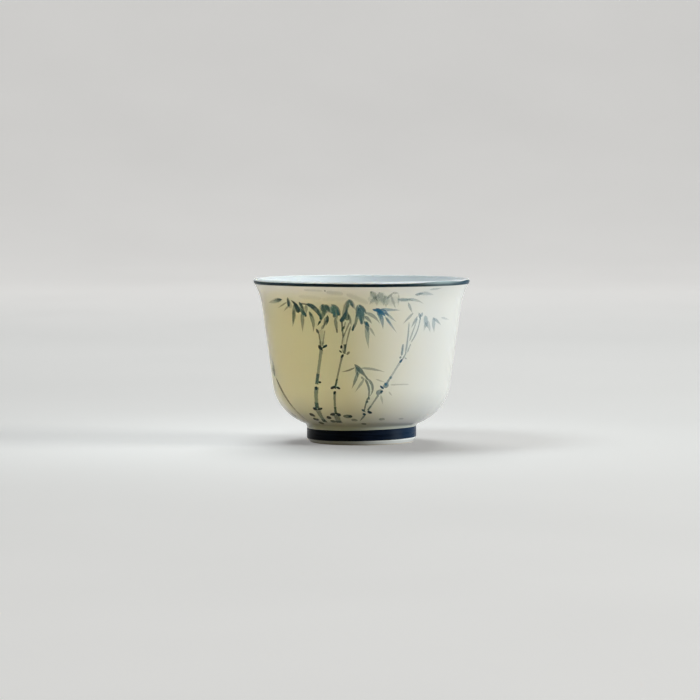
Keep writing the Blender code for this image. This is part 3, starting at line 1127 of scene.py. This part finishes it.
stageSet = {  # lengths in metres
    "size": 5.0,
    "wallHeight": 2.5,
    "sweep": 1.2,
    "sweepSteps": 24,
    "colour": (0.88, 0.87, 0.85),
    "mottle": 0.97,
    "mottleScale": 9,
    "frontGlow": (-0.6, 0.15, 0.5, 0.24),  # keeps the stage as pale all over: two depths, and the glow there
    "backGlow": (0.55, 1.35, 0.0, 0.38),
    "bounce": (0.2, 0.8),  # how much of the light on the floor comes back up, in front and behind
    "bounceReach": (0.03, 0.12),
    "bounceHeight": 0.05 * mm,
    "air": (0.86, 0.88, 0.92),
    "airStrength": 0.02,
}
lightSets = [  # angles in degrees from the front, aim in mm up the axis, other lengths in metres
    {
        "name": "keyLight", "turn": 80, "lift": 6, "away": 1.1, "aim": 25, "size": (0.45, 0.45),
        "spread": 180, "power": 13.6, "colour": (0.97, 1.0, 0.98), "glint": True,
    },
    {
        "name": "backLight", "turn": 180, "lift": 55, "away": 1.1, "aim": 25, "size": (0.6, 0.6),
        "spread": 180, "power": 5.0, "colour": (0.96, 0.99, 1.0), "glint": True,
    },
    {
        "name": "lipLight", "turn": -80, "lift": 72, "away": 0.13, "aim": 25, "size": (0.05, 0.05),
        "spread": 180, "power": 0.075, "colour": (0.88, 0.97, 1.0), "glint": False,
    },
    {
        "name": "lipFill", "turn": -42, "lift": 0, "away": 0.9, "aim": 62, "size": (0.3, 0.03),
        "spread": 1.0, "power": 0.013, "colour": (0.78, 0.79, 1.0), "glint": False,
    },
    {
        "name": "warmFill", "turn": -42, "lift": 0, "away": 0.9, "aim": 30, "size": (0.3, 0.046),
        "spread": 1.6, "power": 0.0193, "colour": (1.0, 0.83, 0.33), "glint": False,
    },
]
cameraSet = {"place": (-3.532, -1100, 88), "aim": (-3.532, 0, 28.03), "lens": 185.2}  # in mm


def selectBackEdge(floor):  # the edge on the ground that is furthest from the camera
    back = stageSet["size"] / 2
    bpy.ops.object.mode_set(mode="OBJECT")
    for edge in floor.data.edges:
        ends = [floor.data.vertices[end].co for end in edge.vertices]
        edge.select = all(end.y > back - weldGap and end.z < weldGap for end in ends)
    bpy.ops.object.mode_set(mode="EDIT")


def paleFloor():
    look = stageSet
    bpy.ops.object.select_all(action="DESELECT")
    bpy.ops.mesh.primitive_plane_add(size=look["size"], location=(0, 0, 0))
    floor = bpy.context.object
    floor.name = "paleFloor"
    bpy.ops.object.mode_set(mode="EDIT")
    bpy.ops.mesh.select_mode(type="EDGE")
    bpy.ops.mesh.select_all(action="DESELECT")
    selectBackEdge(floor)
    bpy.ops.mesh.extrude_region_move(TRANSFORM_OT_translate={"value": (0, 0, look["wallHeight"])})
    selectBackEdge(floor)
    bpy.ops.mesh.bevel(offset=look["sweep"], segments=look["sweepSteps"])
    bpy.ops.object.mode_set(mode="OBJECT")
    bpy.ops.object.shade_smooth()
    finish, tree, shader = newFinish("matteFloor", Roughness=0.9)
    place = addNode(tree, "TexCoord").outputs["Object"]
    mottle = mapRange(tree, noise(tree, place, look["mottleScale"], 3), *noiseSpan)
    darker = tuple(look["mottle"] * channel for channel in look["colour"])
    colour = mixColours(tree, mottle, look["colour"], darker)
    tree.links.new(colour, shader.inputs["Base Color"])
    tree.links.new(colour, shader.inputs["Emission Color"])
    depth = addNode(tree, "SeparateXYZ", links={"Vector": place}).outputs["Y"]
    glows = [mapRange(tree, depth, *look[name], smooth=True) for name in ("frontGlow", "backGlow")]
    tree.links.new(calculate(tree, "ADD", *glows), shader.inputs["Emission Strength"])
    floor.data.materials.append(finish)
    floor.visible_diffuse = False


def bounceSheet():  # gives back less light than the floor would, so that its paleness doesn't flood the cup
    bpy.ops.mesh.primitive_plane_add(size=stageSet["size"], location=(0, 0, stageSet["bounceHeight"]))
    sheet = bpy.context.object
    sheet.name = "bounceSheet"
    finish, tree, shader = newFinish("bounceMatte", Roughness=1.0)
    place = addNode(tree, "TexCoord").outputs["Object"]
    depth = addNode(tree, "SeparateXYZ", links={"Vector": place}).outputs["Y"]
    share = mapRange(tree, depth, *stageSet["bounceReach"], *stageSet["bounce"], smooth=True)
    tree.links.new(share, shader.inputs["Base Color"])
    sheet.data.materials.append(finish)
    sheet.visible_camera = sheet.visible_glossy = sheet.visible_shadow = False


def aimAt(item, target):
    item.rotation_euler = (target - item.location).to_track_quat("-Z", "Y").to_euler()


paleFloor()
bounceSheet()
for lightSet in lightSets:
    aim = Vector((0, 0, lightSet["aim"] * mm))
    turn, lift = math.radians(lightSet["turn"]), math.radians(lightSet["lift"])
    along = Vector((math.sin(turn) * math.cos(lift), -math.cos(turn) * math.cos(lift), math.sin(lift)))
    bpy.ops.object.light_add(type="AREA", location=aim + along * lightSet["away"])
    light = bpy.context.object
    light.name = lightSet["name"]
    light.data.shape = "RECTANGLE"
    light.data.size, light.data.size_y = lightSet["size"]
    light.data.spread = math.radians(lightSet["spread"])
    light.data.energy = lightSet["power"]
    light.data.color = lightSet["colour"]
    light.visible_camera = False
    light.visible_glossy = lightSet["glint"]
    aimAt(light, aim)
air = bpy.data.worlds.new("studioAir")
air.use_nodes = True
air.node_tree.nodes["Background"].inputs["Color"].default_value = (*stageSet["air"], 1)
air.node_tree.nodes["Background"].inputs["Strength"].default_value = stageSet["airStrength"]
bpy.context.scene.world = air
bpy.context.scene.view_settings.view_transform = "Standard"

bpy.ops.object.camera_add(location=Vector(cameraSet["place"]) * mm)
camera = bpy.context.object
camera.data.lens = cameraSet["lens"]
aimAt(camera, Vector(cameraSet["aim"]) * mm)
bpy.context.scene.camera = camera
print("floor, lights and camera set")
